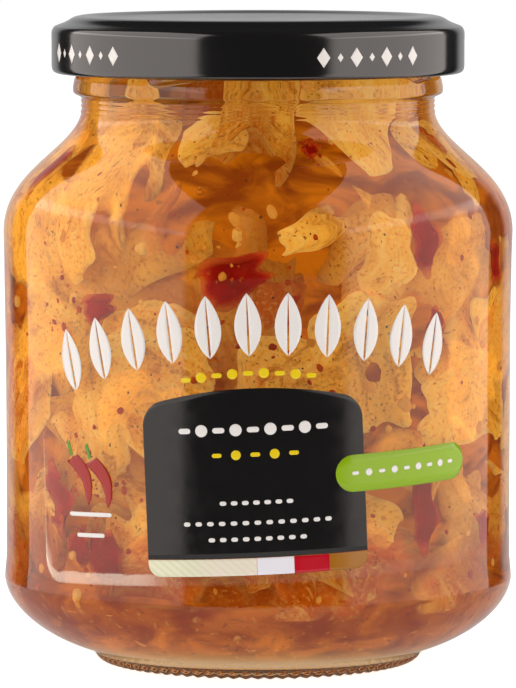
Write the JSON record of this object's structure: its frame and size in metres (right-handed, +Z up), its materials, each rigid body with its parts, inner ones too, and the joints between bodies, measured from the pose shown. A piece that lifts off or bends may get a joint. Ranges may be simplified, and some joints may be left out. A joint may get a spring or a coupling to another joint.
{
  "type": "kimchi jar",
  "caption": "Shut clear glass jar with a round shoulder and a black twist-off lid, filled with cabbage kimchi in orange brine, with a clear printed film label.",
  "frame": {"origin": "on the jar's axis at the plane it stands on", "axes": "+Z up along the jar's axis, -Y the side that the label faces, +X to the right seen from the label"},
  "size_m": [0.0864, 0.0866, 0.1095],
  "materials": {
    "clear_glass": "gloss",
    "black_lacquer": "gloss",
    "kimchi": "satin",
    "clear_film": "gloss",
    "black_ink": "gloss",
    "pale_hatch_ink": "gloss",
    "white_ink": "gloss",
    "red_ink": "gloss",
    "ochre_ink": "gloss",
    "green_ink": "gloss",
    "chilli_ink": "gloss",
    "stalk_ink": "gloss"
  },
  "bodies": {
    "root": {"glass_jar": "clear_glass", "lid": "black_lacquer", "kimchi": "kimchi", "label_film": "clear_film", "label_black_field": "black_ink", "ribbon_pale": "pale_hatch_ink", "ribbon_white": "white_ink", "ribbon_red": "red_ink", "ribbon_ochre": "ochre_ink", "green_tag": "green_ink", "chilli_left": "chilli_ink", "chilli_left_stalk": "stalk_ink", "chilli_right": "chilli_ink", "chilli_right_stalk": "stalk_ink", "white_leaf_1": "white_ink", "white_leaf_2": "white_ink", "white_leaf_3": "white_ink", "white_leaf_4": "white_ink", "white_leaf_5": "white_ink", "white_leaf_6": "white_ink", "white_leaf_7": "white_ink", "white_leaf_8": "white_ink", "white_leaf_9": "white_ink", "white_leaf_10": "white_ink", "white_leaf_11": "white_ink"}
  },
  "joints": []
}
